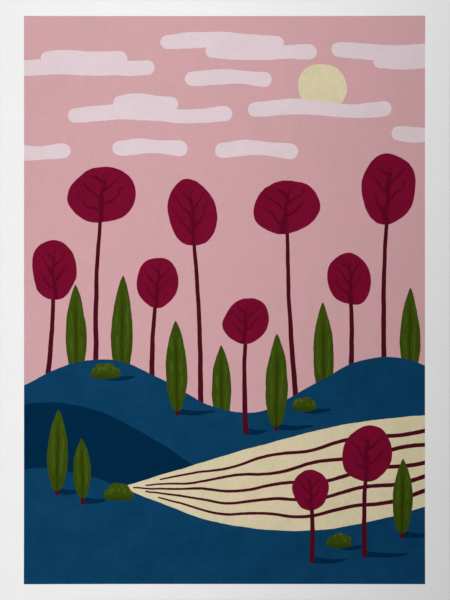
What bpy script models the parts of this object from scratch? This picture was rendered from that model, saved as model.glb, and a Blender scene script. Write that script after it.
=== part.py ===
"""Unframed art print: one sheet of heavy matte cotton paper, lying face up.

Run it with blender --background --python part.py, or from Blender's text editor.
Units are metres and +Z is up. The picture's top edge is towards +Y. The origin is under the
middle of the sheet, in the plane that the sheet rests on.

The sheet lies flat over its middle. Each corner springs up a little, as a heavy sheet does after
it has been handled: it rolls about a straight fold line that runs diagonally across the corner,
so the paper bends one way only and never stretches.
"""

import math

import bmesh
import bpy
from mathutils import Vector

MM = 0.001

# The cut size is the standard 30 x 40 cm format. The thickness includes the printed inks.
SHEET_WIDTH = 300 * MM
SHEET_HEIGHT = 400 * MM
SHEET_THICKNESS = 0.45 * MM

# Each springing corner: its side in X and Y, the angle of its rise from the X axis, the
# distance from the fold line to the corner's tip, and how high the tip stands.
CORNERS = {
    "top_left": (-1, 1, 47.0, 74 * MM, 1.1 * MM),
    "top_right": (1, 1, 52.0, 92 * MM, 2.4 * MM),
    "bottom_left": (-1, -1, 41.0, 84 * MM, 1.7 * MM),
    "bottom_right": (1, -1, 55.0, 68 * MM, 1.3 * MM),
}
STRIPS_PER_CORNER = 12

PAPER_COLOUR = (0.86, 0.86, 0.85, 1.0)
PAPER_ROUGHNESS = 0.85


class CornerRoll:
    """One corner of the sheet, rolled up about a straight fold line."""

    def __init__(self, side_x, side_y, angle_deg, reach, rise):
        """Keeps the corner's tip, the direction in which it rises, its reach and its rise."""
        angle = math.radians(angle_deg)
        self.tip = Vector((side_x * SHEET_WIDTH / 2, side_y * SHEET_HEIGHT / 2, 0))
        self.towards_tip = Vector((side_x * math.cos(angle), side_y * math.sin(angle), 0))
        self.reach = reach
        self.rise = rise

    def past_fold(self, point):
        """How far a point lies past the fold line, and zero before it."""
        return max(0.0, self.reach - (self.tip - point).dot(self.towards_tip))

    def height(self, point):
        """The height of the paper's underside at a point, by this corner alone."""
        return self.rise * (self.past_fold(point) / self.reach) ** 2

    def strip_lines(self):
        """A point on each line, parallel to the fold, that divides the roll into strips."""
        for i in range(STRIPS_PER_CORNER):
            before_tip = self.reach * (1 - i / STRIPS_PER_CORNER)
            yield self.tip - self.towards_tip * before_tip


def clear_scene():
    """Removes every object that the scene starts with."""
    for obj in list(bpy.data.objects):
        bpy.data.objects.remove(obj)


def paper_material():
    """Matte white cotton paper."""
    material = bpy.data.materials.new("paper")
    material.use_nodes = True
    shader = material.node_tree.nodes["Principled BSDF"]
    shader.inputs["Base Color"].default_value = PAPER_COLOUR
    shader.inputs["Roughness"].default_value = PAPER_ROUGHNESS
    shader.inputs["Metallic"].default_value = 0.0
    return material


def cut_into_strips(mesh, corners):
    """Cuts the flat blank along the lines that its corners bend at."""
    for corner in corners:
        for point in corner.strip_lines():
            bmesh.ops.bisect_plane(
                mesh,
                geom=mesh.verts[:] + mesh.edges[:] + mesh.faces[:],
                dist=1e-7,
                plane_co=point,
                plane_no=corner.towards_tip,
            )


def thicken(mesh, thickness):
    """Makes the flat blank a closed sheet, with its underside at zero."""
    grown = bmesh.ops.extrude_face_region(mesh, geom=mesh.faces[:])["geom"]
    raised = [element for element in grown if isinstance(element, bmesh.types.BMVert)]
    bmesh.ops.translate(mesh, verts=raised, vec=(0, 0, thickness))


def roll_corners(mesh, corners):
    """Lifts the sheet at its corners."""
    for vertex in mesh.verts:
        flat = Vector((vertex.co.x, vertex.co.y, 0))
        vertex.co.z += sum(corner.height(flat) for corner in corners)


def paper_sheet(collection):
    """The sheet, as a blank that is cut to size, thickened and rolled at its corners."""
    corners = [CornerRoll(*values) for values in CORNERS.values()]
    mesh = bmesh.new()
    bmesh.ops.create_grid(mesh, x_segments=1, y_segments=1, size=0.5)
    bmesh.ops.scale(mesh, vec=(SHEET_WIDTH, SHEET_HEIGHT, 1), verts=mesh.verts[:])
    cut_into_strips(mesh, corners)
    thicken(mesh, SHEET_THICKNESS)
    roll_corners(mesh, corners)
    bmesh.ops.recalc_face_normals(mesh, faces=mesh.faces[:])
    data = bpy.data.meshes.new("paper_sheet")
    mesh.to_mesh(data)
    mesh.free()
    data.materials.append(paper_material())
    sheet = bpy.data.objects.new("paper_sheet", data)
    collection.objects.link(sheet)
    return sheet


def main():
    """Builds the print in a collection of its own."""
    clear_scene()
    collection = bpy.data.collections.new("art_print")
    bpy.context.scene.collection.children.link(collection)
    paper_sheet(collection)


main()
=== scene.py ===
"""Looks of an unframed art print, built around its packed sheet.

The print is a sheet of heavy matte cotton paper, lying face up, with a landscape printed on it in
flat gouache colours: pale clouds in a pink sky, navy hills, a ploughed cream field, and burgundy
and green trees. Every colour area is a film of ink with a real outline, laid on the paper in
printing order.

Places in the picture are millimetres from the sheet's middle, with x to the right and y to the
top. Press turns them into metres on the sheet.
"""

import logging
import math
from collections.abc import Callable, Iterator, Sequence
from contextlib import contextmanager
from dataclasses import dataclass, replace
from enum import Enum
from functools import cache, reduce
import bpy
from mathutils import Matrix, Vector, noise


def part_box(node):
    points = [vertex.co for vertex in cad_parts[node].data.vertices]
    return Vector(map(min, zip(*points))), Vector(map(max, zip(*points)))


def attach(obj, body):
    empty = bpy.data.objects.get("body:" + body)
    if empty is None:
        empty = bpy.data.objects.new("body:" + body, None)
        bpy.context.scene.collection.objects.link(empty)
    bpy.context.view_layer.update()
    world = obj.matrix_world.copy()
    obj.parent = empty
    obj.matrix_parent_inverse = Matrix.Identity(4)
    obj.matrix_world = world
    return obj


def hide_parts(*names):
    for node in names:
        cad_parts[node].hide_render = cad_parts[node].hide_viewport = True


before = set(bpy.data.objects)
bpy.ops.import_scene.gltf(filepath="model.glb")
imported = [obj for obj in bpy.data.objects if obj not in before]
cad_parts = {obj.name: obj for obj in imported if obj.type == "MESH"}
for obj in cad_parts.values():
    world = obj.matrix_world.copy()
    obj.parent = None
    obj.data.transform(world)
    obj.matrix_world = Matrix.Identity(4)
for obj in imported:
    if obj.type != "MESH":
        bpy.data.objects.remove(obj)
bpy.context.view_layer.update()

log = logging.getLogger("art_print")

Colour = tuple[float, float, float]
Rgba = tuple[float, float, float, float]
Point = tuple[float, float]
Outline = list[Vector]
Socket = bpy.types.NodeSocket
Outputs = bpy.types.NodeOutputs
Term = Socket | float | Sequence[float]
Setting = str | bool | bpy.types.NodeTree

MM = 0.001
CAD_SHEET = "paper_sheet"
BODY = "root"
UV_NAME = "UVMap"

MATTE_GLOSS = 0.02
MATTE_ROUGHNESS = 0.9
SMOOTH_ANGLE_DEG = 30

# In metres: how far a mesh reaches past a plane that cuts it, at the least, and how near to the
# plane a cut takes a point as lying on it.
TOUCHING = 1e-7
CUT_THRESHOLD = 1e-8

# The seed of the hand's waver. Without one, the noise behind it starts from the clock, and no two
# runs draw the same outlines.
HAND_SEED = 15

# Distances in the drawing, in millimetres: between a line's points, and from one waver of the
# hand to the next.
POINT_SPACING = 1.2
SLOW_WAVER = 14.0
QUICK_WAVER = 3.6

# A shadow: where it starts from the foot, how far its middle sags and its end rises from there,
# how much it narrows along its length, and its width at its end.
SHADOW_START = (1.2, 0.5)
SHADOW_SAG = 0.8
SHADOW_RISE = 0.4
SHADOW_TAPER = 3.6
SHADOW_TIP = 0.4

# How many features each pattern has in a metre.
TOOTH = 1100.0
FELT = 330.0
PATCHES = 46.0
BLOTCHES = 150.0
BRISTLES = 130.0
BANDS = 22.0
HAND_STRAYS = 90.0
LEAF_DABS = 480.0
DRY_STROKES = (900.0, 120.0, 1.0)


class Layer(Enum):
    """The printing order of the inks, from the paper up. Inks that never meet share a layer.

    DISTANCE holds the sun, the clouds behind others, and the trunks and evergreens whose feet
    the skyline hides. SKYLINE holds the front clouds and the far hills. NEAR holds the furrows
    and the near hill. STEM holds the other trunks and the bushes, and LEAFAGE the crowns and the
    other evergreens.
    """

    SKY = 1
    DISTANCE = 2
    SKYLINE = 3
    SHADE = 4
    FIELD = 5
    NEAR = 6
    CAST = 7
    STEM = 8
    LEAFAGE = 9


class Stroke(Enum):
    """The way in which an ink was brushed on, as the squeeze of its streaks in x, y and z."""

    ACROSS = (1.0, 4.0, 1.0)
    UP = (4.0, 1.4, 1.0)


# ---------------------------------------------------------------------------------------------
# Lines and outlines
# ---------------------------------------------------------------------------------------------


def smooth_line(points: Sequence[Point]) -> Outline:
    """Draws an even, rounded line through a few points.

    Args:
        points: The places that the line goes through, in millimetres.

    Returns:
        The points along the line, from the first place to the last.
    """
    knots = [Vector(p) for p in points]
    line: Outline = []
    for i, (p1, p2) in enumerate(zip(knots, knots[1:])):
        p0 = knots[i - 1] if i else p1 * 2 - p2
        p3 = knots[i + 2] if i + 2 < len(knots) else p2 * 2 - p1
        steps = max(2, math.ceil((p2 - p1).length / POINT_SPACING))
        for step in range(steps):
            t = step / steps
            line.append(
                0.5
                * (
                    2 * p1
                    + (p2 - p0) * t
                    + (2 * p0 - 5 * p1 + 4 * p2 - p3) * t**2
                    + (3 * p1 - 3 * p2 + p3 - p0) * t**3
                )
            )
    return line + [knots[-1]]


def normals_of(line: Outline) -> list[Vector]:
    """Finds the way to the left of a line.

    Args:
        line: An open line.

    Returns:
        The direction to the left at each of the line's points, one unit long.
    """
    last = len(line) - 1
    ways = [line[min(i + 1, last)] - line[max(i - 1, 0)] for i in range(last + 1)]
    return [Vector((-way.y, way.x)).normalized() for way in ways]


def brush_outline(line: Outline, width_at: Callable[[float], float]) -> Outline:
    """Outlines the mark that a round brush leaves along a line.

    Args:
        line: The middle of the mark.
        width_at: The mark's width, given how far along it is from 0 to 1.

    Returns:
        The closed outline of the mark, with half-round ends.
    """
    last = len(line) - 1
    sides = normals_of(line)
    halves = [width_at(i / last) / 2 for i in range(last + 1)]
    left = [p + n * h for p, n, h in zip(line, sides, halves, strict=True)]
    right = [p - n * h for p, n, h in zip(line, sides, halves, strict=True)]
    return (
        right
        + round_end(line[-1], sides[-1] * -halves[-1])
        + left[::-1]
        + round_end(line[0], sides[0] * halves[0])
    )


def round_end(middle: Vector, radius: Vector, steps: int = 7) -> Outline:
    """Rounds off the end of a mark.

    Args:
        middle: The middle of the half circle.
        radius: The way from the middle to where the half circle starts.
        steps: The number of straight steps that it takes.

    Returns:
        The points of the half circle, which turns left, without its first and its last.
    """
    across = Vector((-radius.y, radius.x))
    turns = [math.pi * i / steps for i in range(1, steps)]
    return [middle + radius * math.cos(a) + across * math.sin(a) for a in turns]


def hand_drawn(outline: Outline, amount: float = 0.32, seed: float = 0.0) -> Outline:
    """Moves an outline's points a little off their line, as an unsteady hand does.

    Args:
        outline: The true outline, in millimetres.
        amount: How far the hand strays, in millimetres.
        seed: Which hand movement is used.

    Returns:
        The outline as the hand draws it.
    """
    drawn = []
    for p in outline:
        slow = noise.noise_vector(Vector((p.x / SLOW_WAVER, p.y / SLOW_WAVER, seed)))
        quick = noise.noise_vector(Vector((p.x / QUICK_WAVER, p.y / QUICK_WAVER, seed + 9.0)))
        drawn.append(p + (slow.xy * 1.6 + quick.xy * 0.5) * amount)
    return drawn


def between(a: Outline, b: Outline, share: float) -> Outline:
    """Draws a line that runs between two others.

    Args:
        a: The first line.
        b: The second line, which runs the same way.
        share: How far over the new line lies, from 0 on the first to 1 on the second.

    Returns:
        The new line, with as many points as the shorter of the two.
    """
    count = min(len(a), len(b))
    picks = [
        (a[round(i * (len(a) - 1) / (count - 1))], b[round(i * (len(b) - 1) / (count - 1))])
        for i in range(count)
    ]
    return [p.lerp(q, share) for p, q in picks]


def is_left_turning(outline: Outline) -> bool:
    """Whether a closed outline runs anticlockwise."""
    ends = zip(outline, outline[1:] + outline[:1], strict=True)
    return sum(p.x * q.y - q.x * p.y for p, q in ends) > 0


def round_shape(
    middle: Point, half_width: float, half_height: float, seed: float, scallops: int = 0
) -> Outline:
    """Outlines a slightly lumpy round shape.

    Args:
        middle: The shape's middle.
        half_width: Half of its width.
        half_height: Half of its height.
        seed: Which lumps it has.
        scallops: The number of rounded bulges round it, or 0 for none.

    Returns:
        The closed outline, with a point about every millimetre.
    """
    count = max(48, round(2 * math.pi * max(half_width, half_height)))
    outline = []
    for i in range(count):
        a = 2 * math.pi * i / count
        lump = 0.985 + 0.026 * math.sin(2 * a + seed) + 0.020 * math.sin(3 * a + 2 * seed)
        lump += 0.012 * math.sin(5 * a + 3 * seed)
        if scallops:
            lump += 0.10 * (abs(math.sin(scallops * a / 2 + seed)) - 0.8)
        x = middle[0] + half_width * lump * math.cos(a)
        outline.append(Vector((x, middle[1] + half_height * lump * math.sin(a))))
    return outline


# ---------------------------------------------------------------------------------------------
# Patterns
# ---------------------------------------------------------------------------------------------


class Wiring:
    """Short ways to add and join nodes in one tree. A term is a socket to join, or a value."""

    def __init__(self, tree: bpy.types.NodeTree) -> None:
        """Keeps the tree to work in."""
        self.tree = tree

    @classmethod
    def of_group(
        cls, name: str, inputs: dict[str, float | Rgba | None], outputs: dict[str, str]
    ) -> "Wiring":
        """Starts a shader node group.

        Args:
            name: The group's name.
            inputs: Each input's name, with its default: a number, a colour, or None for a vector.
            outputs: Each output's name, with its kind: Float or Color.

        Returns:
            The wiring of the new group.
        """
        tree = bpy.data.node_groups.new(name, "ShaderNodeTree")
        for label, value in inputs.items():
            kind = "Vector" if value is None else "Color" if isinstance(value, tuple) else "Float"
            socket = tree.interface.new_socket(
                name=label, in_out="INPUT", socket_type=f"NodeSocket{kind}"
            )
            if value is not None:
                socket.default_value = value
        for label, kind in outputs.items():
            tree.interface.new_socket(name=label, in_out="OUTPUT", socket_type=f"NodeSocket{kind}")
        tree.nodes.new("NodeGroupInput").name = "in"
        tree.nodes.new("NodeGroupOutput").name = "out"
        return cls(tree)

    @property
    def given(self) -> Outputs:
        """A group's inputs, as the sockets that give them inside it."""
        return self.tree.nodes["in"].outputs

    def put_out(self, **results: Socket) -> bpy.types.NodeTree:
        """Joins a group's outputs.

        Args:
            results: The socket that each output takes its value from, by the output's name.

        Returns:
            The group's node tree.
        """
        for label, socket in results.items():
            self.tree.links.new(socket, self.tree.nodes["out"].inputs[label])
        return self.tree

    def add(self, kind: str, terms: dict[int | str, Term], **settings: Setting) -> Outputs:
        """Adds a node.

        Args:
            kind: The node's type, less its first word.
            terms: What each input takes, by its name or its number.
            settings: The node's own settings.

        Returns:
            The node's outputs.
        """
        node = self.tree.nodes.new(f"ShaderNode{kind}")
        for name, setting in settings.items():
            setattr(node, name, setting)
        for label, term in terms.items():
            if isinstance(term, Socket):
                self.tree.links.new(term, node.inputs[label])
            else:
                node.inputs[label].default_value = term
        return node.outputs

    def noise(self, where: Socket, scale: float, detail: float = 2.0) -> Outputs:
        """A noise texture's outputs: Fac, a value, and Color, a vector."""
        return self.add("TexNoise", {"Vector": where, "Scale": scale, "Detail": detail})

    def math(self, operation: str, *terms: Term, clamp: bool = False) -> Socket:
        """A math node's result, kept between 0 and 1 if it is clamped."""
        return self.add("Math", dict(enumerate(terms)), operation=operation, use_clamp=clamp)[0]

    def vector(self, operation: str, *terms: Term) -> Socket:
        """A vector math node's result."""
        return self.add("VectorMath", dict(enumerate(terms)), operation=operation)[0]

    def product(self, *factors: Term) -> Socket:
        """The product of two or more values, multiplied in order."""
        return reduce(lambda a, b: self.math("MULTIPLY", a, b), factors)

    def fade(self, distance: Term, width: Term) -> Socket:
        """A line's strength, from 1 at its middle to 0 at a width from it."""
        return self.math("SUBTRACT", 1.0, self.math("DIVIDE", distance, width), clamp=True)

    def ramp(self, value: Socket, none: float, full: float) -> Socket:
        """A soft step, from 0 where the value is none to 1 where it is full."""
        terms = {0: value, 1: none, 2: full}
        return self.add("MapRange", terms, interpolation_type="SMOOTHSTEP")[0]

    def shade(self, colour: Socket, amount: Socket) -> Socket:
        """A colour made lighter or darker by a factor."""
        return self.add("VectorMath", {0: colour, "Scale": amount}, operation="SCALE")[0]

    def mix(self, share: Socket, a: Socket, b: Socket) -> Socket:
        """A blend of two colours, which is all the second where the share is 1."""
        return self.add("Mix", {0: share, 6: a, 7: b}, data_type="RGBA")[2]

    def group(self, group: bpy.types.NodeTree, **terms: Term) -> Outputs:
        """A group node's outputs, with its inputs taken by name."""
        return self.add("Group", terms, node_tree=group)


@cache
def tooth_group() -> bpy.types.NodeTree:
    """Makes the fine, uneven tooth of cotton paper, which shows through every ink.

    Returns:
        The group: Height is the tooth's height, and Fleck is its finest part, both from 0 up.
    """
    wires = Wiring.of_group(
        "paper tooth", {"Vector": None}, {"Height": "Float", "Fleck": "Float"}
    )
    fine = wires.noise(wires.given["Vector"], TOOTH, 3.0)["Fac"]
    felt = wires.noise(wires.given["Vector"], FELT)["Fac"]
    return wires.put_out(Height=wires.math("MULTIPLY_ADD", felt, 0.7, fine), Fleck=fine)


@cache
def wash_group() -> bpy.types.NodeTree:
    """Makes gouache: a colour that drifts towards a second one, with brush streaks and grain.

    Brushed is the place on the sheet, squeezed along the way in which the brush went.

    Returns:
        The group: Colour is the ink's colour, and Ridge is how high its bristle marks stand.
    """
    white = (1.0, 1.0, 1.0, 1.0)
    wires = Wiring.of_group(
        "gouache wash",
        {
            "Vector": None,
            "Brushed": None,
            "Colour": white,
            "Undertone": white,
            "Fleck": 0.5,
            "Streak": 0.0,
            "Grain": 0.02,
        },
        {"Colour": "Color", "Ridge": "Float"},
    )
    given = wires.given
    patches = wires.product(wires.noise(given["Vector"], PATCHES, 3.0)["Fac"], 2.4)
    blotches = wires.noise(given["Vector"], BLOTCHES)["Fac"]
    drift = wires.math("MULTIPLY_ADD", blotches, 1.6, patches)
    share = wires.math("SUBTRACT", drift, 1.5, clamp=True)
    tint = wires.mix(share, given["Colour"], given["Undertone"])
    bands = wires.product(wires.noise(given["Brushed"], BANDS)["Fac"], 0.4)
    bristles = wires.noise(given["Brushed"], BRISTLES, 3.0)["Fac"]
    ridge = wires.math("MULTIPLY_ADD", bristles, 0.6, bands)
    streaks = wires.product(wires.math("SUBTRACT", ridge, 0.5), given["Streak"])
    flecks = wires.product(wires.math("SUBTRACT", given["Fleck"], 0.5), given["Grain"])
    level = wires.math("ADD", wires.math("ADD", streaks, flecks), 1.0)
    return wires.put_out(Colour=wires.shade(tint, level), Ridge=ridge)


def local_place(wires: Wiring, wander: float) -> tuple[Socket, Socket]:
    """Finds a motif's own place, strayed a little as a hand does.

    Args:
        wires: The wiring of a group that is given Local, the motif's own map, and Vector, the
            place on the sheet.
        wander: How far the hand strays.

    Returns:
        The place across and the place up, each from -1 to 1.
    """
    stray = wires.noise(wires.given["Vector"], HAND_STRAYS, 1.0)["Color"]
    shift = wires.vector("MULTIPLY_ADD", stray, (wander,) * 3, (-0.5 * wander,) * 3)
    place = wires.vector("MULTIPLY_ADD", wires.given["Local"], (2.0, 2.0, 0.0), (-1.0, -1.0, 0.0))
    parts = wires.add("SeparateXYZ", {0: wires.vector("ADD", place, shift)})
    return parts["X"], parts["Y"]


@cache
def branches_group() -> bpy.types.NodeTree:
    """Makes the branches that show through a round crown: a stem, with twigs to either side.

    Returns:
        The group: Mask is 1 on a branch and 0 off it.
    """
    wires = Wiring.of_group("branches", {"Vector": None, "Local": None}, {"Mask": "Float"})
    x, y = local_place(wires, 0.34)
    off = wires.math("ABSOLUTE", x)
    stem_width = wires.math("MULTIPLY_ADD", y, -0.045, 0.105)
    stem = wires.product(wires.fade(off, stem_width), wires.ramp(y, 0.72, 0.30))
    # A twig's line climbs from the stem in a curve, and is repeated up the crown. The ones to
    # the left leave the stem halfway between those to the right.
    climb = wires.math("SUBTRACT", y, wires.product(wires.math("POWER", off, 1.35), 1.15))
    half_step = wires.math("DIVIDE", climb, 0.50)
    turn = wires.math("MULTIPLY_ADD", wires.math("SIGN", x), 0.24, half_step)
    gap = wires.math("ABSOLUTE", wires.math("SUBTRACT", wires.math("FRACT", turn), 0.5))
    twig_width = wires.math("MULTIPLY_ADD", off, -0.16, 0.19)
    twig = wires.product(
        wires.fade(gap, twig_width),
        wires.ramp(off, 0.78, 0.45),
        wires.ramp(climb, -0.86, -0.78),
        wires.ramp(y, 0.74, 0.52),
    )
    mask = wires.math("MULTIPLY", wires.math("MAXIMUM", stem, twig), 1.5, clamp=True)
    return wires.put_out(Mask=mask)


@cache
def needles_group() -> bpy.types.NodeTree:
    """Makes the marks on a pointed tree: light dry strokes up its sides, and a dark rib.

    Returns:
        The group: Light and Dark are 1 on such a mark and 0 off it.
    """
    wires = Wiring.of_group(
        "needle strokes", {"Vector": None, "Local": None}, {"Light": "Float", "Dark": "Float"}
    )
    x, y = local_place(wires, 0.22)
    fullness = wires.math("SQRT", wires.math("MULTIPLY_ADD", wires.product(y, y), -0.9, 1.0))
    across = wires.math("ABSOLUTE", wires.math("DIVIDE", x, fullness))
    off = wires.math("ABSOLUTE", wires.math("SUBTRACT", across, 0.50))
    dry = wires.noise(wires.vector("MULTIPLY", wires.given["Vector"], DRY_STROKES), 1.0)["Fac"]
    light = wires.product(
        wires.ramp(off, 0.30, 0.0),
        wires.ramp(y, 0.86, 0.45),
        wires.ramp(y, -0.88, -0.50),
        wires.ramp(dry, 0.36, 0.62),
    )
    rib = wires.ramp(wires.math("ABSOLUTE", x), 0.20, 0.04)
    return wires.put_out(Light=light, Dark=wires.product(rib, wires.ramp(y, 0.80, 0.2)))


@cache
def dabs_group() -> bpy.types.NodeTree:
    """Makes the marks on a bush: light leaf dabs over its dome, and a dark foot.

    Returns:
        The group: Light and Dark are 1 on such a mark and 0 off it.
    """
    wires = Wiring.of_group(
        "leaf dabs", {"Vector": None, "Local": None}, {"Light": "Float", "Dark": "Float"}
    )
    _, y = local_place(wires, 0.30)
    squat = wires.vector("MULTIPLY", wires.given["Vector"], (1.0, 0.7, 1.0))
    dabs = wires.noise(squat, LEAF_DABS, 1.0)["Fac"]
    light = wires.product(wires.ramp(dabs, 0.50, 0.60), wires.ramp(y, 0.05, 0.45))
    return wires.put_out(Light=light, Dark=wires.ramp(y, 0.30, -0.30))


# ---------------------------------------------------------------------------------------------
# Finishes
# ---------------------------------------------------------------------------------------------


@dataclass(frozen=True)
class Surface:
    """What a finish draws its marks on, in one material.

    Attributes:
        wires: The material's wiring.
        where: The place on the sheet.
        fleck: The finest part of the paper's tooth.
    """

    wires: Wiring
    where: Socket
    fleck: Socket

    def local(self) -> Socket:
        """The motif's own place, from 0 to 1 across it and up it."""
        return self.wires.add("UVMap", {}, uv_map=UV_NAME)["UV"]


@dataclass(frozen=True)
class Finish:
    """A matte surface on toothed paper: bare paper, or an ink.

    Attributes:
        name: The material's name.
        slot: A material slot's name. It is not used.
        colour: The finish's main colour, in linear light.
        undertone: The colour that it drifts towards in patches.
        stroke: The way in which the ink was brushed on.
        streak: The strength of the brush streaks.
        grain: The strength of the paper's grain in the colour.
        relief: The height of the tooth, in metres.
    """

    name: str
    slot: str
    colour: Colour
    undertone: Colour
    stroke: Stroke = Stroke.ACROSS
    streak: float = 0.0
    grain: float = 0.19
    relief: float = 0.012 * MM

    def material(self) -> bpy.types.Material:
        """The finish's material, made on first use."""
        return bpy.data.materials.get(self.name) or self._make()

    def _make(self) -> bpy.types.Material:
        """Makes the material.

        Returns:
            The material, with its colour and its relief in place.
        """
        material = bpy.data.materials.new(self.name)
        material.use_nodes = True
        tree = material.node_tree
        wires = Wiring(tree)
        shader = tree.nodes["Principled BSDF"]
        shader.inputs["Specular IOR Level"].default_value = MATTE_GLOSS
        shader.inputs["Roughness"].default_value = MATTE_ROUGHNESS
        where = wires.add("TexCoord", {})["Object"]
        tooth = wires.group(tooth_group(), Vector=where)
        surface = Surface(wires, where, tooth["Fleck"])
        wash = self._wash(surface, self.colour, self.undertone)
        tree.links.new(self._coloured(surface, wash["Colour"]), shader.inputs["Base Color"])
        height = wires.math("MULTIPLY_ADD", wash["Ridge"], self.streak, tooth["Height"])
        bump = wires.add("Bump", {"Strength": 1.0, "Distance": self.relief, "Height": height})
        tree.links.new(bump["Normal"], shader.inputs["Normal"])
        return material

    def _wash(self, surface: Surface, colour: Colour, undertone: Colour) -> Outputs:
        """Lays a wash of colour.

        Args:
            surface: What it is laid on.
            colour: Its main colour.
            undertone: The colour that it drifts towards.

        Returns:
            The wash's outputs: Colour and Ridge.
        """
        return surface.wires.group(
            wash_group(),
            Vector=surface.where,
            Brushed=surface.wires.vector("MULTIPLY", surface.where, self.stroke.value),
            Colour=(*colour, 1.0),
            Undertone=(*undertone, 1.0),
            Fleck=surface.fleck,
            Streak=self.streak,
            Grain=self.grain,
        )

    def _mark(self, surface: Surface, mask: Socket, ground: Socket, colour: Colour) -> Socket:
        """Draws marks of one colour over a ground.

        Args:
            surface: What they are drawn on.
            mask: Where they are, from 0 to 1.
            ground: The colour that they are drawn over.
            colour: Their own colour.

        Returns:
            The colour of the ground and the marks together.
        """
        return surface.wires.mix(mask, ground, self._wash(surface, colour, colour)["Colour"])

    def _coloured(self, surface: Surface, wash: Socket) -> Socket:
        """The finish's colour, which is its wash alone."""
        return wash


@dataclass(frozen=True)
class CrownInk(Finish):
    """The ink of a round crown, with branches showing through it.

    Attributes:
        branch: The branches' colour.
    """

    branch: Colour = (0.0, 0.0, 0.0)

    def _coloured(self, surface: Surface, wash: Socket) -> Socket:
        """Draws the branches into the wash.

        Args:
            surface: What they are drawn on.
            wash: The crown's colour.

        Returns:
            The finish's colour.
        """
        marks = surface.wires.group(branches_group(), Vector=surface.where, Local=surface.local())
        return self._mark(surface, marks["Mask"], wash, self.branch)


@dataclass(frozen=True)
class LeafInk(Finish):
    """The ink of leaves, with light and dark marks over it.

    Attributes:
        light: The light marks' colour.
        dark: The dark marks' colour.
        marks: Makes the group that says where the marks are.
    """

    light: Colour = (1.0, 1.0, 1.0)
    dark: Colour = (0.0, 0.0, 0.0)
    marks: Callable[[], bpy.types.NodeTree] = needles_group

    def _coloured(self, surface: Surface, wash: Socket) -> Socket:
        """Draws the dark marks and then the light ones into the wash.

        Args:
            surface: What they are drawn on.
            wash: The leaves' colour.

        Returns:
            The finish's colour.
        """
        marks = surface.wires.group(self.marks(), Vector=surface.where, Local=surface.local())
        shaded = self._mark(surface, marks["Dark"], wash, self.dark)
        return self._mark(surface, marks["Light"], shaded, self.light)


PAPER = Finish("cotton paper", "paper", (0.909, 0.909, 0.908), (0.892, 0.892, 0.890), grain=0.03)
PINK = Finish(
    "ink pink",
    "ink_pink",
    (0.663, 0.367, 0.400),
    (0.625, 0.370, 0.379),
    stroke=Stroke.UP,
    streak=0.09,
)
PALE = Finish("ink pale", "ink_pale", (0.772, 0.626, 0.674), (0.722, 0.600, 0.632))
NAVY = Finish(
    "ink navy", "ink_navy", (0.0027, 0.0450, 0.1095), (0.0042, 0.0530, 0.1295), streak=0.26
)
DEEP_NAVY = Finish(
    "ink deep navy", "ink_deep_navy", (0.0, 0.0208, 0.0592), (0.0, 0.0222, 0.0625), streak=0.08
)
CREAM = Finish(
    "ink cream",
    "ink_cream",
    (0.750, 0.642, 0.434),
    (0.686, 0.614, 0.390),
    stroke=Stroke.UP,
    streak=0.20,
    grain=0.30,
)
MAROON = Finish("ink maroon", "ink_maroon", (0.076, 0.0040, 0.0123), (0.068, 0.0040, 0.0123))
LEAF = LeafInk(
    "ink green",
    "ink_green",
    (0.036, 0.0625, 0.0025),
    (0.045, 0.0750, 0.0042),
    stroke=Stroke.UP,
    streak=0.30,
    light=(0.066, 0.1060, 0.0100),
    dark=(0.026, 0.0450, 0.0018),
)
BUSH_LEAF = replace(LEAF, name="ink green dabbed", marks=dabs_group)
BURGUNDY = CrownInk(
    "ink burgundy",
    "ink_burgundy",
    (0.197, 0.0036, 0.0287),
    (0.172, 0.0032, 0.0247),
    branch=(0.108, 0.0020, 0.0170),
)


# ---------------------------------------------------------------------------------------------
# The sheet
# ---------------------------------------------------------------------------------------------


@dataclass(frozen=True)
class CornerRoll:
    """One corner of the sheet, which springs up about a straight fold line.

    Attributes:
        side: The corner's side in X and in Y, each 1 or -1.
        angle_deg: The angle between the X axis and the way in which the corner rises.
        reach: The distance from the fold line to the corner's tip, in metres.
        rise: How high the tip stands, in metres.
    """

    side: tuple[int, int]
    angle_deg: float
    reach: float
    rise: float

    @property
    def towards_tip(self) -> Vector:
        """The level direction in which the corner rises."""
        angle = math.radians(self.angle_deg)
        return Vector((self.side[0] * math.cos(angle), self.side[1] * math.sin(angle), 0.0))

    def tip(self, width: float, height: float) -> Vector:
        """The corner's tip, on a sheet of that size."""
        return Vector((self.side[0] * width / 2, self.side[1] * height / 2, 0.0))


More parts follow.
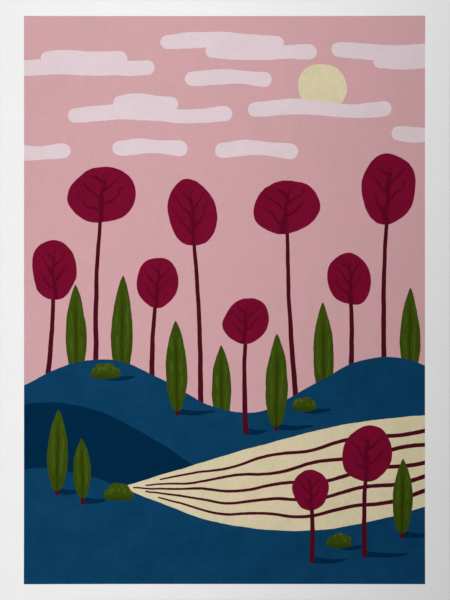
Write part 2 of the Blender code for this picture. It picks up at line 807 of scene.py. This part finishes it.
@dataclass(frozen=True)
class SheetForm:
    """The sheet's shape: its cut size, its margins and the spring of its corners.

    Attributes:
        width: The sheet's size in X, in metres.
        height: The sheet's size in Y, in metres.
        thickness: The thickness of the paper with every ink on it.
        left_margin: The bare paper left of the picture.
        right_margin: The bare paper right of the picture.
        end_margin: The bare paper above and below the picture.
        film: How much higher each layer of ink stands than the one before.
        creases: The number of strips that each springing corner is bent in.
        corners: The four corners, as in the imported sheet.
    """

    width: float
    height: float
    thickness: float = 0.45 * MM
    left_margin: float = 16.0 * MM
    right_margin: float = 16.67 * MM
    end_margin: float = 10.67 * MM
    film: float = 0.012 * MM
    creases: int = 24
    corners: tuple[CornerRoll, ...] = (
        CornerRoll((-1, 1), 47.0, 74 * MM, 1.1 * MM),
        CornerRoll((1, 1), 52.0, 92 * MM, 2.4 * MM),
        CornerRoll((-1, -1), 41.0, 84 * MM, 1.7 * MM),
        CornerRoll((1, -1), 55.0, 68 * MM, 1.3 * MM),
    )

    @property
    def paper_thickness(self) -> float:
        """The thickness of the bare paper."""
        return self.thickness - len(Layer) * self.film

    def picture_edges(self) -> Iterator[tuple[Vector, Vector]]:
        """Finds the picture's four edges.

        Yields:
            A point on the edge, and the direction outward from it.
        """
        yield Vector((self.left_margin - self.width / 2, 0, 0)), Vector((-1, 0, 0))
        yield Vector((self.width / 2 - self.right_margin, 0, 0)), Vector((1, 0, 0))
        for side in (-1, 1):
            outward = Vector((0, side, 0))
            yield outward * (self.height / 2 - self.end_margin), outward

    def lift(self, x: float, y: float) -> float:
        """Finds how high the sheet's underside stands.

        Args:
            x: The place in X, in metres.
            y: The place in Y, in metres.

        Returns:
            The height there, in metres.
        """
        total = 0.0
        for corner in self.corners:
            from_tip = corner.tip(self.width, self.height) - Vector((x, y, 0.0))
            past_fold = max(0.0, corner.reach - from_tip.dot(corner.towards_tip))
            total += corner.rise * (past_fold / corner.reach) ** 2
        return total

    def crease_lines(self) -> Iterator[tuple[Vector, Vector]]:
        """Finds the lines that the sheet bends at.

        Yields:
            A point on the line, and the direction across it.
        """
        for corner in self.corners:
            tip = corner.tip(self.width, self.height)
            for i in range(self.creases):
                gap = corner.reach * (1 - i / self.creases)
                yield tip - corner.towards_tip * gap, corner.towards_tip


@dataclass(frozen=True)
class LocalMap:
    """A motif's own map, from 0 to 1 across it and up it.

    Attributes:
        middle: The motif's middle, in millimetres.
        half_width: Half of its width.
        half_height: Half of its height.
        lean: How far its top stands to the right of its middle.
    """

    middle: Point
    half_width: float
    half_height: float
    lean: float = 0.0

    def at(self, x: float, y: float) -> Point:
        """Finds a point's place on the map.

        Args:
            x: The point's place to the right, in millimetres.
            y: The point's place towards the top, in millimetres.

        Returns:
            The place across the map and the place up it.
        """
        up = (y - self.middle[1]) / self.half_height
        across = (x - self.middle[0] - self.lean * up) / self.half_width
        return 0.5 + 0.5 * across, 0.5 + 0.5 * up


@contextmanager
def editing(obj: bpy.types.Object) -> Iterator[None]:
    """Works on one object in edit mode, with all of its mesh selected.

    Args:
        obj: The mesh object to edit.
    """
    choose(obj)
    bpy.ops.object.mode_set(mode="EDIT")
    bpy.ops.mesh.select_all(action="SELECT")
    try:
        yield
    finally:
        bpy.ops.object.mode_set(mode="OBJECT")


def choose(obj: bpy.types.Object) -> None:
    """Makes an object the only selected one, and the active one.

    Args:
        obj: The object that the next operators act on.
    """
    bpy.ops.object.select_all(action="DESELECT")
    obj.select_set(True)
    bpy.context.view_layer.objects.active = obj


def bisect(obj: bpy.types.Object, point: Vector, way: Vector, cut_off: bool = False) -> None:
    """Cuts a mesh along an upright plane, if the plane passes through it.

    Args:
        obj: The flat mesh to cut.
        point: A point on the plane.
        way: The direction that the plane faces.
        cut_off: Whether what lies past the plane is removed.
    """
    gaps = [(vertex.co - point).dot(way) for vertex in obj.data.vertices]
    if min(gaps) < -TOUCHING and max(gaps) > TOUCHING:
        with editing(obj):
            bpy.ops.mesh.bisect(
                plane_co=point, plane_no=way, clear_outer=cut_off, threshold=CUT_THRESHOLD
            )


class Press:
    """Makes the sheet and lays flat shapes on it as thin films of ink."""

    def __init__(self, form: SheetForm) -> None:
        """Keeps the sheet's form."""
        self.form = form
        self.pieces: list[bpy.types.Object] = []

    def sheet(self) -> bpy.types.Object:
        """Cuts the paper to size and springs its corners.

        Returns:
            The sheet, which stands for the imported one.
        """
        bpy.ops.mesh.primitive_plane_add(size=1.0, location=(0, 0, 0))
        sheet = bpy.context.object
        sheet.name = "cotton_sheet"
        with editing(sheet):
            bpy.ops.transform.resize(value=(self.form.width, self.form.height, 1.0))
        self._crease(sheet)
        self._thicken(sheet, self.form.paper_thickness)
        self._finish(sheet, PAPER, 0.0)
        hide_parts(CAD_SHEET)
        return sheet

    def area(
        self,
        name: str,
        outline: Outline,
        layer: Layer,
        finish: Finish,
        local_map: LocalMap | None = None,
    ) -> bpy.types.Object:
        """Prints a flat area of ink, cut off at the picture's edge.

        Args:
            name: The piece's name.
            outline: The area's closed outline, in millimetres from the sheet's middle.
            layer: The ink's place in the printing order.
            finish: The ink.
            local_map: The motif's own map, for an ink that draws marks on it.

        Returns:
            The film of ink.
        """
        if not is_left_turning(outline):
            outline = outline[::-1]
        bpy.ops.mesh.primitive_circle_add(
            vertices=len(outline), radius=1.0, fill_type="NGON", location=(0, 0, 0)
        )
        film = bpy.context.object
        film.name = name
        for vertex, place in zip(film.data.vertices, outline, strict=True):
            vertex.co = (place.x * MM, place.y * MM, 0.0)
        for point, outward in self.form.picture_edges():
            bisect(film, point, outward, cut_off=True)
        self._crease(film)
        self._thicken(film, layer.value * self.form.film)
        self._finish(film, finish, self.form.paper_thickness)
        if local_map:
            self._map(film, local_map)
        return film

    def _crease(self, obj: bpy.types.Object) -> None:
        """Cuts a flat mesh along the lines that the sheet bends at."""
        for point, way in self.form.crease_lines():
            bisect(obj, point, way)

    def _thicken(self, obj: bpy.types.Object, thickness: float) -> None:
        """Raises a flat mesh into a closed film.

        Args:
            obj: The flat mesh.
            thickness: The film's thickness, in metres.
        """
        with editing(obj):
            bpy.ops.mesh.extrude_region_move(TRANSFORM_OT_translate={"value": (0, 0, thickness)})
            bpy.ops.mesh.select_all(action="SELECT")
            bpy.ops.mesh.normals_make_consistent(inside=False)

    def _finish(self, obj: bpy.types.Object, finish: Finish, base: float) -> None:
        """Lays a film on the sheet, dresses it and makes it ride with the sheet.

        Args:
            obj: The film, or the sheet itself.
            finish: What it is dressed in.
            base: The height of its underside where the sheet lies flat, in metres.
        """
        for vertex in obj.data.vertices:
            vertex.co.z += base + self.form.lift(vertex.co.x, vertex.co.y)
        choose(obj)
        bpy.ops.object.shade_smooth_by_angle(angle=math.radians(SMOOTH_ANGLE_DEG))
        obj.data.materials.append(finish.material())
        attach(obj, BODY)
        self.pieces.append(obj)
        log.info("%s: %d faces, %s", obj.name, len(obj.data.polygons), finish.name)

    def _map(self, film: bpy.types.Object, local_map: LocalMap) -> None:
        """Writes a motif's own map into its film's UV map.

        Args:
            film: The motif's film.
            local_map: The motif's own map.
        """
        mesh = film.data
        places = mesh.uv_layers[UV_NAME].data
        for loop in mesh.loops:
            corner = mesh.vertices[loop.vertex_index].co
            places[loop.index].uv = local_map.at(corner.x / MM, corner.y / MM)


# ---------------------------------------------------------------------------------------------
# The picture
# ---------------------------------------------------------------------------------------------


@dataclass(frozen=True)
class Sky:
    """The pink sky, with a cream sun and long pale clouds.

    Attributes:
        sun: The sun's middle and its radius.
        clouds: The line along each cloud.
        back_clouds: The line along each shorter cloud that is tucked behind another.
        cloud_width: The clouds' width.
        reach: How far the sky runs from the middle in x and y, past the picture's edges.
    """

    sun: tuple[float, float, float] = (65.0, 141.5, 16.5)
    clouds: tuple[tuple[Point, ...], ...] = (
        ((-150.0, 153.0), (-118.0, 155.5), (-84.0, 154.0), (-52.0, 155.0)),
        ((-38.0, 172.0), (-4.0, 174.0), (34.0, 171.0)),
        ((-100.0, 123.0), (-64.0, 125.5), (-30.0, 122.5), (0.0, 124.0)),
        ((20.0, 127.0), (50.0, 129.0), (82.0, 126.0), (106.0, 127.5)),
        ((76.0, 167.0), (110.0, 165.0), (150.0, 167.5)),
        ((-150.0, 99.0), (-126.0, 98.0), (-108.0, 99.5)),
        ((-2.0, 100.0), (20.0, 101.5), (44.0, 99.0)),
        ((-70.0, 101.5), (-50.0, 102.5), (-30.0, 101.0)),
        ((-22.0, 147.5), (2.0, 149.0), (26.0, 147.0)),
    )
    back_clouds: tuple[tuple[Point, ...], ...] = (
        ((-118.0, 161.0), (-94.0, 161.5), (-70.0, 160.5)),
        ((-8.0, 166.5), (18.0, 165.0), (56.0, 165.5)),
        ((-70.0, 131.5), (-52.0, 132.5), (-36.0, 130.5)),
        ((104.0, 159.5), (124.0, 158.5), (150.0, 160.0)),
        ((116.0, 111.0), (132.0, 110.0), (150.0, 111.5)),
    )
    cloud_width: float = 10.2
    reach: tuple[float, float] = (200.0, 220.0)

    def build(self, press: Press) -> None:
        """Prints the sky, the sun and the clouds.

        Args:
            press: The press that lays the inks.
        """
        side, end = self.reach
        corners = [Vector((x * side, y * end)) for x, y in ((-1, -1), (1, -1), (1, 1), (-1, 1))]
        press.area("sky", corners, Layer.SKY, PINK)
        x, y, radius = self.sun
        disc = round_shape((x, y), radius, radius, 3.0)
        press.area("sun", hand_drawn(disc), Layer.DISTANCE, CREAM)
        for kind, lines, layer in (
            ("cloud", self.clouds, Layer.SKYLINE),
            ("back_cloud", self.back_clouds, Layer.DISTANCE),
        ):
            for i, points in enumerate(lines, 1):
                mark = brush_outline(smooth_line(points), self._width_at)
                outline = hand_drawn(mark, amount=0.4, seed=i)
                press.area(f"{kind}_{i}", outline, layer, PALE)

    def _width_at(self, along: float) -> float:
        """A cloud's width at a share of its length."""
        return self.cloud_width * (0.96 + 0.08 * math.sin(7 * along))


@dataclass(frozen=True)
class Hills:
    """The navy hills, the shade between them and the ploughed field.

    Attributes:
        far_ridge: The skyline.
        shade_edge: The upper edge of the shade in the valley.
        field_tip: The field's narrow end.
        field_top: The field's upper edge, on from its narrow end.
        field_foot: The field's lower edge, on from its narrow end, where the near hill hides it.
        near_slope: The near hill's upper edge, up to the field's narrow end.
        reach: How far the hills run from the middle in x and down, past the picture's edges.
        tucked: How far the field runs on under the near hill.
        furrows: The number of furrows across the field.
        first_start: The share of its line that the middle furrow leaves bare at the narrow end.
        late_start: How much more of it a furrow on the field's own edge would leave bare.
        furrow_width: A furrow's width at its start, and how much wider it gets.
        wave: How far a furrow weaves to either side.
        wave_growth: The number of its points in which the weaving grows to that.
        wave_turn: The number of points in which it turns by one radian.
        wave_shift: How far each furrow's weaving is ahead of the last one's, in radians.
    """

    far_ridge: tuple[Point, ...] = (
        (-160.0, -72.0), (-132.0, -56.0), (-104.0, -43.0), (-74.0, -40.0), (-42.0, -53.0),
        (-8.0, -71.0), (24.0, -74.0), (56.0, -58.0), (86.0, -42.0), (112.0, -38.0),
        (136.0, -45.0), (160.0, -58.0),
    )
    shade_edge: tuple[Point, ...] = (
        (-160.0, -76.5), (-124.0, -68.5), (-88.0, -73.0), (-54.0, -89.0), (-22.0, -109.0),
        (12.0, -132.0), (60.0, -150.0), (160.0, -170.0),
    )
    field_tip: Point = (-70.0, -125.0)
    field_top: tuple[Point, ...] = (
        (-44.0, -117.0), (-4.0, -105.0), (38.0, -93.0), (80.0, -83.0), (124.0, -77.5),
        (160.0, -76.0),
    )
    field_foot: tuple[Point, ...] = (
        (-50.0, -132.5), (-14.0, -146.0), (26.0, -153.0), (66.0, -153.0), (104.0, -146.0),
        (136.0, -137.0), (160.0, -130.0),
    )
    near_slope: tuple[Point, ...] = ((-160.0, -117.0), (-124.0, -112.0), (-90.0, -117.5))
    reach: tuple[float, float] = (160.0, 215.0)
    tucked: float = 6.0
    furrows: int = 5
    first_start: float = 0.045
    late_start: float = 0.11
    furrow_width: tuple[float, float] = (1.0, 2.0)
    wave: float = 1.3
    wave_growth: float = 40.0
    wave_turn: float = 8.0
    wave_shift: float = 1.7

    def build(self, press: Press) -> None:
        """Prints the hills from the farthest to the nearest.

        Args:
            press: The press that lays the inks.
        """
        press.area("far_hills", self._down_from(self.far_ridge, 1.0), Layer.SKYLINE, NAVY)
        press.area("shade", self._down_from(self.shade_edge, 2.0), Layer.SHADE, DEEP_NAVY)
        top = smooth_line((self.field_tip, *self.field_top))
        foot = smooth_line((self.field_tip, *self.field_foot))
        hidden_foot = [p - Vector((0.0, self.tucked)) for p in foot]
        press.area("field", hand_drawn(top + hidden_foot[::-1], seed=4.0), Layer.FIELD, CREAM)
        for i in range(self.furrows):
            self._furrow(press, top, foot, i)
        near_ridge = (*self.near_slope, self.field_tip, *self.field_foot)
        press.area("near_hill", self._down_from(near_ridge, 3.0), Layer.NEAR, NAVY)

    def _furrow(self, press: Press, top: Outline, foot: Outline, i: int) -> None:
        """Prints one furrow. The outer ones start later, where the field is wide enough.

        Args:
            press: The press that lays the ink.
            top: The field's upper edge.
            foot: The field's lower edge.
            i: The furrow's number, from 0 at the top.
        """
        share = (i + 1) / (self.furrows + 1)
        line = between(top, foot, share)
        bare = self.first_start + self.late_start * abs(2 * share - 1)
        line = line[round(len(line) * bare):]
        woven = []
        for k, p in enumerate(line):
            turn = k / self.wave_turn + self.wave_shift * i
            sway = self.wave * min(1.0, k / self.wave_growth) * math.sin(turn)
            woven.append(p + Vector((0.0, sway)))
        start, growth = self.furrow_width
        mark = brush_outline(woven, lambda t: start + growth * t**0.7)
        outline = hand_drawn(mark, amount=0.25, seed=5.0 + i)
        press.area(f"furrow_{i + 1}", outline, Layer.NEAR, MAROON)

    def _down_from(self, ridge: Sequence[Point], seed: float) -> Outline:
        """Outlines everything below a ridge.

        Args:
            ridge: The places that the ridge goes through.
            seed: Which hand movement draws it.

        Returns:
            The closed outline, which runs on past the picture's foot.
        """
        line = hand_drawn(smooth_line(ridge), seed=seed)
        side, foot = self.reach
        return line + [Vector((side, -foot)), Vector((-side, -foot))]


def lay_shadow(press: Press, name: str, foot: Vector, length: float) -> None:
    """Prints the long shadow that a plant throws over the hill to its right.

    Args:
        press: The press that lays the ink.
        name: The piece's name.
        foot: The plant's foot.
        length: The shadow's length.
    """
    start = foot + Vector(SHADOW_START)
    middle = start + Vector((length * 0.5, -SHADOW_SAG))
    line = smooth_line([start, middle, start + Vector((length, SHADOW_RISE))])
    mark = brush_outline(line, lambda t: SHADOW_TAPER * (1 - t) ** 0.5 + SHADOW_TIP)
    outline = hand_drawn(mark, amount=0.25, seed=length)
    press.area(name, outline, Layer.CAST, DEEP_NAVY)


@dataclass(frozen=True)
class RoundTree:
    """A round tree on a thin trunk.

    Attributes:
        foot: Where the trunk stands.
        crown: The crown's middle.
        half_width: Half of the crown's width.
        half_height: Half of the crown's height.
        lean: How far the crown's top leans to the right.
        seed: Which lumps the crown has.
        shadow: The shadow's length, or 0 for a tree whose foot is behind the skyline.
        trunk_width: The trunk's width at its foot.
        trunk_taper: How much narrower it is at its top.
    """

    foot: Point
    crown: Point
    half_width: float
    half_height: float
    lean: float
    seed: float
    shadow: float = 0.0
    trunk_width: float = 3.6
    trunk_taper: float = 1.4

    def build(self, press: Press, number: int) -> None:
        """Prints the trunk and the crown.

        Args:
            press: The press that lays the inks.
            number: The tree's number, for its pieces' names.
        """
        foot, crown = Vector(self.foot), Vector(self.crown)
        trunk = smooth_line([foot, foot.lerp(crown, 0.5) - Vector((self.lean, 0.0)), crown])
        mark = brush_outline(trunk, lambda t: self.trunk_width - self.trunk_taper * t)
        layer = Layer.STEM if self.shadow else Layer.DISTANCE
        outline = hand_drawn(mark, amount=0.25, seed=self.seed)
        press.area(f"trunk_{number}", outline, layer, MAROON)
        if self.shadow:
            lay_shadow(press, f"crown_shadow_{number}", foot, self.shadow)
        shape = [
            p + Vector((self.lean * (p.y - crown.y) / self.half_height, 0.0))
            for p in round_shape(self.crown, self.half_width, self.half_height, self.seed)
        ]
        own = LocalMap(self.crown, self.half_width, self.half_height, self.lean)
        outline = hand_drawn(shape, amount=0.45, seed=self.seed)
        press.area(f"crown_{number}", outline, Layer.LEAFAGE, BURGUNDY, own)


@dataclass(frozen=True)
class Evergreen:
    """A tall, pointed evergreen.

    Attributes:
        foot: The middle of the tree's foot.
        height: The tree's height.
        width: The tree's greatest width.
        lean: How far its tip stands to the right of its foot.
        seed: Which way the hand strays.
        shadow: The shadow's length, or 0 for a tree whose foot is behind the skyline.
        stump_width: The short trunk's width.
        stump: How far the trunk runs below the tree's foot, and how far up into the tree.
        shadow_drop: How far the shadow starts below the tree's foot.
    """

    foot: Point
    height: float
    width: float
    lean: float
    seed: float
    shadow: float = 0.0
    stump_width: float = 2.8
    stump: tuple[float, float] = (6.0, 4.0)
    shadow_drop: float = 5.0

    def build(self, press: Press, number: int) -> None:
        """Prints the tree, on a short trunk if its foot shows.

        Args:
            press: The press that lays the inks.
            number: The tree's number, for its pieces' names.
        """
        foot, tip = Vector(self.foot), Vector(self.foot) + Vector((self.lean, self.height))
        if self.shadow:
            below, above = self.stump
            stump = smooth_line([foot - Vector((0.0, below)), foot + Vector((0.0, above))])
            mark = brush_outline(stump, lambda t: self.stump_width)
            outline = hand_drawn(mark, amount=0.2, seed=self.seed)
            press.area(f"stump_{number}", outline, Layer.STEM, MAROON)
            shade_foot = foot - Vector((0.0, self.shadow_drop))
            lay_shadow(press, f"evergreen_shadow_{number}", shade_foot, self.shadow)
        shape = brush_outline(smooth_line([foot, tip]), self._width_at)
        own = LocalMap(tuple((foot + tip) / 2), self.width / 2, self.height / 2, self.lean / 2)
        outline = hand_drawn(shape, amount=0.4, seed=self.seed)
        layer = Layer.LEAFAGE if self.shadow else Layer.DISTANCE
        press.area(f"evergreen_{number}", outline, layer, LEAF, own)

    def _width_at(self, along: float) -> float:
        """The tree's width at a share of its height."""
        return self.width * math.sin(math.pi * (0.16 + 0.84 * along)) ** 0.8 + 0.5


@dataclass(frozen=True)
class Bush:
    """A low, domed bush.

    Attributes:
        middle: The place under the dome where the bush is widest.
        half_width: Half of its width.
        dome: The dome's height over that place.
        seed: Which lumps it has.
        shadow: How far its shadow runs past it, or 0 for none.
        squat: The depth below that place, as a share of the dome's height.
        shadow_drop: How far the shadow starts below it, as such a share.
    """

    middle: Point
    half_width: float
    dome: float
    seed: float
    shadow: float = 0.0
    squat: float = 0.35
    shadow_drop: float = 0.25

    def build(self, press: Press, number: int) -> None:
        """Prints the bush.

        Args:
            press: The press that lays the inks.
            number: The bush's number, for its pieces' names.
        """
        middle = Vector(self.middle)
        if self.shadow:
            foot = middle - Vector((0.0, self.shadow_drop * self.dome))
            lay_shadow(press, f"bush_shadow_{number}", foot, self.half_width + self.shadow)
        shape = [
            Vector((p.x, middle.y + (p.y - middle.y) * (1.0 if p.y > middle.y else self.squat)))
            for p in round_shape(self.middle, self.half_width, self.dome, self.seed, scallops=7)
        ]
        own = LocalMap(self.middle, self.half_width, self.dome)
        outline = hand_drawn(shape, amount=0.3, seed=self.seed)
        press.area(f"bush_{number}", outline, Layer.STEM, BUSH_LEAF, own)


@dataclass(frozen=True)
class Trees:
    """All that grows on the hills.

    Attributes:
        round_trees: The burgundy trees.
        evergreens: The pointed green trees.
        bushes: The low green bushes.
    """

    round_trees: tuple[RoundTree, ...] = (
        RoundTree((-119.0, -60.0), (-114.0, 20.0), 15.0, 20.5, -1.2, 0.4),
        RoundTree((-86.0, -50.0), (-82.0, 70.0), 22.5, 19.5, 1.8, 1.7),
        RoundTree((-49.0, -60.0), (-45.0, 12.0), 14.0, 17.0, 1.0, 2.9),
        RoundTree((-16.0, -76.0), (-22.0, 58.0), 17.0, 22.0, -1.6, 4.1),
        RoundTree((48.0, -76.0), (41.0, 62.0), 22.0, 18.5, 1.5, 0.9),
        RoundTree((84.0, -52.0), (83.0, 14.0), 14.5, 18.0, -1.0, 2.2),
        RoundTree((106.0, -50.0), (109.0, 74.0), 18.5, 23.5, 1.6, 3.6),
        RoundTree((14.0, -88.0), (14.0, -14.0), 16.0, 15.0, 1.2, 5.3, 13.0),
        RoundTree((93.0, -170.0), (95.0, -102.5), 17.5, 18.5, 1.2, 4.8, 28.0),
        RoundTree((58.0, -174.0), (57.0, -126.5), 12.5, 13.5, -0.8, 6.1, 22.0),
    )
    evergreens: tuple[Evergreen, ...] = (
        Evergreen((-99.0, -50.0), 60.0, 13.5, -0.8, 1.3),
        Evergreen((-69.0, -50.0), 66.0, 14.0, 0.8, 2.3),
        Evergreen((-2.0, -80.0), 50.0, 12.5, -0.6, 4.3),
        Evergreen((66.0, -62.0), 60.0, 13.5, -0.8, 6.3),
        Evergreen((123.0, -50.0), 58.0, 13.0, 0.6, 7.3),
        Evergreen((-32.0, -70.0), 56.0, 14.0, -1.0, 3.3, 24.0),
        Evergreen((34.0, -80.0), 57.0, 14.5, 1.0, 5.3, 24.0),
        Evergreen((118.0, -152.0), 46.0, 13.0, 0.8, 8.3, 20.0),
        Evergreen((-112.0, -123.0), 50.0, 13.5, 0.8, 9.3, 14.0),
        Evergreen((-95.0, -129.0), 37.0, 11.5, -0.6, 10.3, 15.0),
    )
    bushes: tuple[Bush, ...] = (
        Bush((-80.0, -50.0), 10.0, 8.5, 0.7, 9.0),
        Bush((53.0, -72.0), 8.5, 7.5, 3.1, 8.0),
        Bush((-71.0, -131.0), 10.5, 9.0, 4.3),
        Bush((76.0, -163.0), 9.0, 7.5, 5.5, 8.0),
    )

    def build(self, press: Press) -> None:
        """Prints every tree and bush.

        Args:
            press: The press that lays the inks.
        """
        for plants in (self.round_trees, self.evergreens, self.bushes):
            for number, plant in enumerate(plants, 1):
                plant.build(press, number)


# ---------------------------------------------------------------------------------------------
# The room
# ---------------------------------------------------------------------------------------------


@dataclass(frozen=True)
class Studio:
    """The plain pale floor, the soft lamp and the camera.

    Attributes:
        lens: The camera's focal length, in millimetres.
        sensor: The sensor's long side, in millimetres.
        floor_size: The floor's width and length, in metres.
        floor_drop: How far the floor lies under the sheet.
        floor_colour: The floor's colour.
        lamp_height: The strip lamp's height over the sheet's underside, in metres.
        lamp_size: The strip lamp's width and length.
        lamp_middle: The place of the strip lamp's middle, from the sheet's middle.
        lamp_turn_deg: The turn of the strip's long side from the picture's upright.
        lamp_power: The strip lamp's power, in watts.
        fill: The strength of the light from all round.
    """

    lens: float = 90.0
    sensor: float = 36.0
    floor_size: float = 6.0
    floor_drop: float = 0.03 * MM
    floor_colour: Colour = (0.70, 0.69, 0.675)
    lamp_height: float = 0.47
    lamp_size: tuple[float, float] = (0.15, 4.25)
    lamp_middle: tuple[float, float] = (0.129, 1.50)
    lamp_turn_deg: float = 8.9
    lamp_power: float = 11.6
    fill: float = 0.111

    def build(self, form: SheetForm) -> None:
        """Builds the room around the sheet.

        Args:
            form: The sheet's form.
        """
        self._floor()
        self._lamp()
        self._fill_light()
        self._camera(form)
        log.info("room: a floor, a strip lamp, a light all round and a camera")

    def _floor(self) -> None:
        """Lays a plain pale floor just under the sheet."""
        bpy.ops.mesh.primitive_plane_add(size=self.floor_size, location=(0, 0, -self.floor_drop))
        floor = bpy.context.object
        floor.name = "floor"
        material = bpy.data.materials.new("floor")
        material.use_nodes = True
        shader = material.node_tree.nodes["Principled BSDF"]
        shader.inputs["Base Color"].default_value = (*self.floor_colour, 1.0)
        shader.inputs["Roughness"].default_value = MATTE_ROUGHNESS
        floor.data.materials.append(material)

    def _lamp(self) -> None:
        """Hangs a long soft strip, which runs from past the sheet's top over its left side."""
        bpy.ops.object.light_add(
            type="AREA",
            location=(*self.lamp_middle, self.lamp_height),
            rotation=(0, 0, -math.radians(self.lamp_turn_deg)),
        )
        lamp = bpy.context.object
        lamp.name = "strip_lamp"
        lamp.data.shape = "RECTANGLE"
        lamp.data.size, lamp.data.size_y = self.lamp_size
        lamp.data.energy = self.lamp_power
        lamp.visible_camera = False

    def _fill_light(self) -> None:
        """Adds an even light from all round."""
        world = bpy.data.worlds.new("studio")
        world.use_nodes = True
        background = world.node_tree.nodes["Background"]
        background.inputs["Color"].default_value = (1.0, 1.0, 1.0, 1.0)
        background.inputs["Strength"].default_value = self.fill
        bpy.context.scene.world = world

    def _camera(self, form: SheetForm) -> None:
        """Hangs a camera that looks straight down, with the sheet filling its frame.

        Args:
            form: The sheet's form.
        """
        distance = form.height * self.lens / self.sensor
        bpy.ops.object.camera_add(location=(0, 0, form.thickness + distance), rotation=(0, 0, 0))
        camera = bpy.context.object
        camera.data.lens = self.lens
        camera.data.sensor_width = self.sensor
        bpy.context.scene.camera = camera


def main() -> None:
    """Builds the print and the room around it."""
    logging.basicConfig(level=logging.INFO, format="%(name)s %(message)s")
    bpy.ops.object.select_all(action="DESELECT")
    bpy.context.scene.view_settings.view_transform = "Standard"
    noise.seed_set(HAND_SEED)
    low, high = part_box(CAD_SHEET)
    form = SheetForm(width=high.x - low.x, height=high.y - low.y)
    press = Press(form)
    press.sheet()
    for part in (Sky(), Hills(), Trees()):
        part.build(press)
    Studio().build(form)
    log.info("%d pieces", len(press.pieces))


if __name__ == "__main__":
    main()
